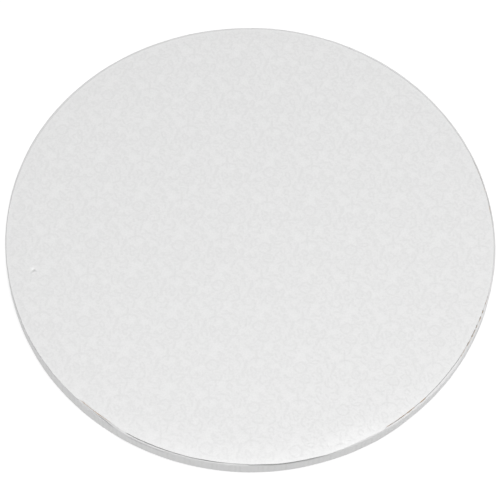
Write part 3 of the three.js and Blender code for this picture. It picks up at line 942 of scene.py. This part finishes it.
def add_bump(tree, shader, height, distance, strength):
    """Bump on the shader from a height value; distance is in metres."""
    bump = tree.nodes.new("ShaderNodeBump")
    bump.inputs["Strength"].default_value = strength
    bump.inputs["Distance"].default_value = distance
    tree.links.new(height, bump.inputs["Height"])
    tree.links.new(bump.outputs["Normal"], shader.inputs["Normal"])


def add_attribute(tree, name):
    """The value of a point attribute of the mesh."""
    attribute = tree.nodes.new("ShaderNodeAttribute")
    attribute.attribute_name = name
    return attribute.outputs["Fac"]


def embossed_paper_material(colours):
    """Satin white paper with a faint pearly mottle, a little darker where the press has gone in: partly the
    paper's own tone, partly painted shade in the grooves. The dent carries painted shade and a painted
    highlight.
    """
    material, tree, shader = new_material("satin_embossed_paper", colours.sheet_roughness, gloss=0.9)
    white = colours.embossed_paper
    pressed = add_attribute(tree, "pressed")
    grain = add_noise(tree, scale=900)
    colour = mottle(tree, grain, white, 0.965, 1.035)
    # The pressed lines darken the colour, partly as the paper's own tone and partly as painted shade in the
    # grooves; past one share the same range carries the dent's painted shade.
    darkest = shade(white, 1 - PRESSED_RANGE * (1 - colours.pressed_shade))
    colour = blend_colour(tree, pressed, 0.0, PRESSED_RANGE, colour, darkest)
    # Painted highlight on the dent's back side, where the pressed value falls below 0.
    colour = blend_colour(tree, pressed, -1.0, 0.0, shade(white, PAINTED_HIGHLIGHT_SHADE), colour)
    tree.links.new(colour, shader.inputs["Base Color"])
    add_bump(tree, shader, grain, distance=0.02 * MM, strength=0.5)
    return material


def band_paper_material(colours):
    """Smooth satin white paper with faint streaks across the strip, and painted shade, down to a dark grey,
    in the gap, the creases and the folds and at the foot."""
    material, tree, shader = new_material("smooth_band_paper", roughness=0.42, gloss=0.8)
    streaks = add_noise(tree, scale=450, stretch=(1.0, 1.0, 0.12))
    colour = mottle(tree, streaks, colours.band_paper, 0.98, 1.02)
    # Painted shade: the shadow attribute darkens the colour towards DEEP_SHADOW.
    colour = blend_colour(tree, add_attribute(tree, "shadow"), 0.0, 1.0, colour, DEEP_SHADOW)
    tree.links.new(colour, shader.inputs["Base Color"])
    add_bump(tree, shader, streaks, distance=0.1 * MM, strength=0.5)
    return material


def plain_paper_material(colours):
    """Matt white paper with a soft fibre mottle."""
    material, tree, shader = new_material("matt_base_paper", roughness=0.8)
    fibres = add_noise(tree, scale=700, detail=5)
    tree.links.new(mottle(tree, fibres, colours.plain_paper, 0.97, 1.02), shader.inputs["Base Color"])
    add_bump(tree, shader, fibres, distance=0.04 * MM, strength=0.6)
    return material


def corrugated_board_material(colours):
    """Brown unbleached board: long fibres in two shades, matt."""
    material, tree, shader = new_material("brown_corrugated_board", roughness=0.9)
    fibres = add_noise(tree, scale=500, detail=6, stretch=(1.0, 0.25, 1.0))
    tree.links.new(mottle(tree, fibres, colours.corrugated_board, 0.82, 1.15), shader.inputs["Base Color"])
    add_bump(tree, shader, fibres, distance=0.06 * MM, strength=0.7)
    return material


# The stage.


def seen_directly(tree):
    """1 for camera, glossy and transmission rays, and 0 for the rays that light the object."""
    path = tree.nodes.new("ShaderNodeLightPath")
    outputs = [path.outputs[name] for name in ("Is Camera Ray", "Is Glossy Ray", "Is Transmission Ray")]
    total = outputs[0]
    for output in outputs[1:]:
        add = tree.nodes.new("ShaderNodeMath")
        add.operation = "ADD"
        add.use_clamp = True
        tree.links.new(total, add.inputs[0])
        tree.links.new(output, add.inputs[1])
        total = add.outputs[0]
    return total


def show_apart(tree, output, lighting, shown):
    """Sends the output the shader that lights the object, and the shown one where it is seen directly."""
    mix = tree.nodes.new("ShaderNodeMixShader")
    tree.links.new(seen_directly(tree), mix.inputs[0])
    tree.links.new(lighting.outputs[0], mix.inputs[1])
    tree.links.new(shown.outputs[0], mix.inputs[2])
    tree.links.new(mix.outputs[0], output.inputs["Surface"])


def floor_material(stage):
    """A pale floor that shows white with the board's soft shadow, and gives back less light than it shows."""
    material = bpy.data.materials.new("pale_floor")
    material.use_nodes = True
    tree = material.node_tree
    tree.nodes.clear()
    output = tree.nodes.new("ShaderNodeOutputMaterial")
    plain = tree.nodes.new("ShaderNodeBsdfDiffuse")
    plain.inputs["Color"].default_value = (stage.floor_grey, stage.floor_grey, stage.floor_grey, 1)
    shown = tree.nodes.new("ShaderNodeAddShader")
    glow = tree.nodes.new("ShaderNodeEmission")
    glow.inputs["Color"].default_value = (1, 1, 1, 1)
    glow.inputs["Strength"].default_value = FLOOR_GLOW
    shadow = tree.nodes.new("ShaderNodeBsdfDiffuse")
    shadow.inputs["Color"].default_value = (FLOOR_SHOWN, FLOOR_SHOWN, FLOOR_SHOWN, 1)
    tree.links.new(glow.outputs[0], shown.inputs[0])
    tree.links.new(shadow.outputs[0], shown.inputs[1])
    show_apart(tree, output, plain, shown)
    return material


def white_world(stage):
    """A world that shows white, and lights the board evenly with a lower strength."""
    world = bpy.data.worlds.new("white_room")
    bpy.context.scene.world = world
    world.use_nodes = True
    tree = world.node_tree
    tree.nodes.clear()
    output = tree.nodes.new("ShaderNodeOutputWorld")
    lit = tree.nodes.new("ShaderNodeBackground")
    lit.inputs["Strength"].default_value = stage.fill
    shown = tree.nodes.new("ShaderNodeBackground")
    for node in (lit, shown):
        node.inputs["Color"].default_value = (1, 1, 1, 1)
    shown.inputs["Strength"].default_value = 1
    show_apart(tree, output, lit, shown)


def add_lamp(name, power, size, distance, elevation, angle):
    """A broad soft lamp on a line from the board given by its elevation and its angle around the board."""
    light = bpy.data.lights.new(name, "AREA")
    light.shape = "DISK"
    light.size = size
    light.energy = power
    lamp = bpy.data.objects.new(name, light)
    level = math.cos(elevation)
    place = Vector((level * math.cos(angle), level * math.sin(angle), math.sin(elevation))) * distance
    lamp.matrix_world = Matrix.Translation(place) @ place.to_track_quat("Z", "Y").to_matrix().to_4x4()
    bpy.context.scene.collection.objects.link(lamp)


def add_camera(stage):
    """A camera on a line from its aim given by its elevation, rolled about its own axis."""
    aim = Vector(stage.aim)
    up = stage.camera_elevation
    away = Vector((stage.camera_side, -math.cos(up), math.sin(up))).normalized()
    data = bpy.data.cameras.new("camera")
    data.sensor_width = SENSOR_WIDTH
    data.lens = stage.lens
    data.clip_end = CLIP_END
    camera = bpy.data.objects.new("camera", data)
    turn = away.to_track_quat("Z", "Y").to_matrix().to_4x4() @ Matrix.Rotation(stage.camera_roll, 4, "Z")
    camera.matrix_world = Matrix.Translation(aim + away * stage.camera_distance) @ turn
    bpy.context.scene.collection.objects.link(camera)
    bpy.context.scene.camera = camera


class BoardSizes(bpy.types.PropertyGroup):
    """The sizes of the paper pieces."""

    sheet_paper: bpy.props.FloatProperty(
        name="Sheet paper", description="Thickness of the top and base sheets",
        default=0.3 * MM, unit="LENGTH")
    band_paper: bpy.props.FloatProperty(
        name="Band paper", description="Thickness of the band's paper", default=0.25 * MM, unit="LENGTH")
    band_turn: bpy.props.FloatProperty(
        name="Turned margin", description="Width of the band that is turned over the faces",
        default=15 * MM, unit="LENGTH")
    shoulder_width: bpy.props.FloatProperty(
        name="Shoulder width", description="Width of the band's rounded shoulder",
        default=1.2 * MM, unit="LENGTH")
    pleat_count: bpy.props.IntProperty(
        name="Pleats", description="Number of folds around the turned margins", default=190)
    pleat_rise: bpy.props.FloatProperty(
        name="Pleat rise", description="Height of the folds at the turned-in edge",
        default=0.2 * MM, unit="LENGTH")
    emboss_depth: bpy.props.FloatProperty(
        name="Emboss depth", description="Depth of the pressed pattern", default=0.06 * MM, unit="LENGTH")
    line_width: bpy.props.FloatProperty(
        name="Line width", description="Width of the pressed lines as a share of the drawn one", default=1.0)


class BoardColours(bpy.types.PropertyGroup):
    """The colours of the papers and of the board inside."""

    embossed_paper: bpy.props.FloatVectorProperty(
        name="Embossed paper", description="Colour of the top sheet", size=3, subtype="COLOR",
        default=(0.804, 0.804, 0.804))
    # The pressed lines' darkening is partly the paper's tone and partly painted shade in the grooves.
    pressed_shade: bpy.props.FloatProperty(
        name="Pressed shade", description="Brightness of the pressed lines against the ground", default=0.936)
    sheet_roughness: bpy.props.FloatProperty(
        name="Sheet roughness", description="Roughness of the embossed paper", default=0.4, subtype="FACTOR")
    band_paper: bpy.props.FloatVectorProperty(
        name="Band paper", description="Colour of the band", size=3, subtype="COLOR",
        default=(0.75, 0.75, 0.75))
    plain_paper: bpy.props.FloatVectorProperty(
        name="Plain paper", description="Colour of the base sheet", size=3, subtype="COLOR",
        default=(0.82, 0.82, 0.8))
    corrugated_board: bpy.props.FloatVectorProperty(
        name="Corrugated board", description="Colour of the plies", size=3, subtype="COLOR",
        default=(0.46, 0.27, 0.11))


class StageLook(bpy.types.PropertyGroup):
    """The light, the floor and the camera."""

    fill: bpy.props.FloatProperty(
        name="Fill light", description="Strength of the even light around", default=0.385)
    key_power: bpy.props.FloatProperty(
        name="Key power", description="Power of the soft lamp", default=24.4, unit="POWER")
    key_size: bpy.props.FloatProperty(
        name="Key size", description="Diameter of the soft lamp", default=0.9, unit="LENGTH")
    key_distance: bpy.props.FloatProperty(
        name="Key distance", description="Distance from the board to the soft lamp",
        default=2.2, unit="LENGTH")
    key_elevation: bpy.props.FloatProperty(
        name="Key elevation", description="Height of the lamp over the board, as an angle",
        default=math.radians(83), subtype="ANGLE")
    key_angle: bpy.props.FloatProperty(
        name="Key angle", description="Where the lamp stands around the board",
        default=math.radians(325), subtype="ANGLE")
    side_power: bpy.props.FloatProperty(
        name="Side power", description="Power of the side lamps, of which each has its own share",
        default=9, unit="POWER")
    side_elevation: bpy.props.FloatProperty(
        name="Side elevation", description="Height of the side lamps over the board, as an angle",
        default=math.radians(15), subtype="ANGLE")
    floor_grey: bpy.props.FloatProperty(
        name="Floor grey", description="Share of light that the floor gives back to the board", default=0.65)
    aim: bpy.props.FloatVectorProperty(
        name="Aim", description="Point on the floor in the middle of the view", size=3,
        default=(0.02 * MM, -3.81 * MM, 0), subtype="TRANSLATION", unit="LENGTH")
    camera_distance: bpy.props.FloatProperty(
        name="Camera distance", description="Distance from the aim to the camera",
        default=1379.1 * MM, unit="LENGTH")
    camera_elevation: bpy.props.FloatProperty(
        name="Camera elevation", description="Height of the camera over the floor, as an angle",
        default=math.radians(63.105), subtype="ANGLE")
    camera_side: bpy.props.FloatProperty(
        name="Camera side step", description="Sideways part of the camera's direction", default=-0.00042)
    camera_roll: bpy.props.FloatProperty(
        name="Camera roll", description="Turn of the camera about its own axis",
        default=math.radians(2.434), subtype="ANGLE")
    lens: bpy.props.FloatProperty(
        name="Lens", description="Focal length in millimetres", default=158.71, unit="CAMERA")


class BOARD_OT_embossed_sheet(bpy.types.Operator):
    """Builds the embossed sheet that covers the top."""

    bl_idname = "board.embossed_sheet"
    bl_label = "Embossed sheet"

    def execute(self, context):
        scene = context.scene
        sheet = embossed_sheet_mesh(scene.board_sizes)
        finish_piece(sheet, "top_sheet", embossed_paper_material(scene.board_colours))
        return {"FINISHED"}


class BOARD_OT_gathered_band(bpy.types.Operator):
    """Builds the band around the side, gathered where it is turned over the faces."""

    bl_idname = "board.gathered_band"
    bl_label = "Gathered band"

    def execute(self, context):
        scene = context.scene
        band = gathered_band_mesh(scene.board_sizes)
        finish_piece(band, "edge_band", band_paper_material(scene.board_colours))
        return {"FINISHED"}


class BOARD_OT_base_sheet(bpy.types.Operator):
    """Builds the plain sheet underneath."""

    bl_idname = "board.base_sheet"
    bl_label = "Base sheet"

    def execute(self, context):
        scene = context.scene
        sheet = base_sheet_mesh(scene.board_sizes)
        finish_piece(sheet, "base_sheet", plain_paper_material(scene.board_colours))
        return {"FINISHED"}


class BOARD_OT_core_plies(bpy.types.Operator):
    """Gives the three corrugated plies inside their material."""

    bl_idname = "board.core_plies"
    bl_label = "Core plies"

    def execute(self, context):
        material = corrugated_board_material(context.scene.board_colours)
        plies = [node for name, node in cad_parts.items() if name.startswith("core_ply_")]
        if len(plies) != PLY_COUNT:
            raise RuntimeError("the frame should have three core plies")
        for ply in plies:
            ply.data.materials.clear()
            ply.data.materials.append(material)
        return {"FINISHED"}


class BOARD_OT_stage(bpy.types.Operator):
    """Sets up the floor, the light and the camera."""

    bl_idname = "board.stage"
    bl_label = "Stage"

    def execute(self, context):
        stage = context.scene.board_stage
        corners = FLOOR_HALF * np.array([[-1, -1, 0], [1, -1, 0], [1, 1, 0], [-1, 1, 0]])
        floor = build_mesh("floor", corners, [[0, 1, 2, 3]])
        floor.data.materials.append(floor_material(stage))
        white_world(stage)
        add_lamp(
            "key_lamp", stage.key_power, stage.key_size, stage.key_distance, stage.key_elevation,
            stage.key_angle)
        for name, share, angle in SIDE_LAMPS:
            add_lamp(
                name, stage.side_power * share, SIDE_LAMP_SIZE, SIDE_LAMP_DISTANCE, stage.side_elevation,
                math.radians(angle))
        add_camera(stage)
        context.scene.view_settings.view_transform = "Standard"
        return {"FINISHED"}


STEPS = ("embossed_sheet", "gathered_band", "base_sheet", "core_plies", "stage")


class BOARD_PT_panel(bpy.types.Panel):
    """Lists the sizes, the colours and the steps in the sidebar."""

    bl_idname = "BOARD_PT_panel"
    bl_label = "Cake board"
    bl_space_type = "VIEW_3D"
    bl_region_type = "UI"
    bl_category = "Cake board"

    def draw(self, context):
        for name in ("board_sizes", "board_colours", "board_stage"):
            group = getattr(context.scene, name)
            box = self.layout.box()
            for key in group.__annotations__:
                box.prop(group, key)
        for step in STEPS:
            self.layout.operator("board." + step)


CLASSES = (
    BoardSizes, BoardColours, StageLook, BOARD_OT_embossed_sheet, BOARD_OT_gathered_band, BOARD_OT_base_sheet,
    BOARD_OT_core_plies, BOARD_OT_stage, BOARD_PT_panel)


def register():
    """Registers the classes and hangs the settings on the scene."""
    for cls in CLASSES:
        bpy.utils.register_class(cls)
    bpy.types.Scene.board_sizes = bpy.props.PointerProperty(type=BoardSizes)
    bpy.types.Scene.board_colours = bpy.props.PointerProperty(type=BoardColours)
    bpy.types.Scene.board_stage = bpy.props.PointerProperty(type=StageLook)


def unregister():
    """Takes the settings off the scene and unregisters the classes."""
    for name in ("board_sizes", "board_colours", "board_stage"):
        delattr(bpy.types.Scene, name)
    for cls in reversed(CLASSES):
        bpy.utils.unregister_class(cls)


def main():
    """Builds every piece and the stage."""
    register()
    for step in STEPS:
        getattr(bpy.ops.board, step)()


if __name__ == "__main__":
    main()
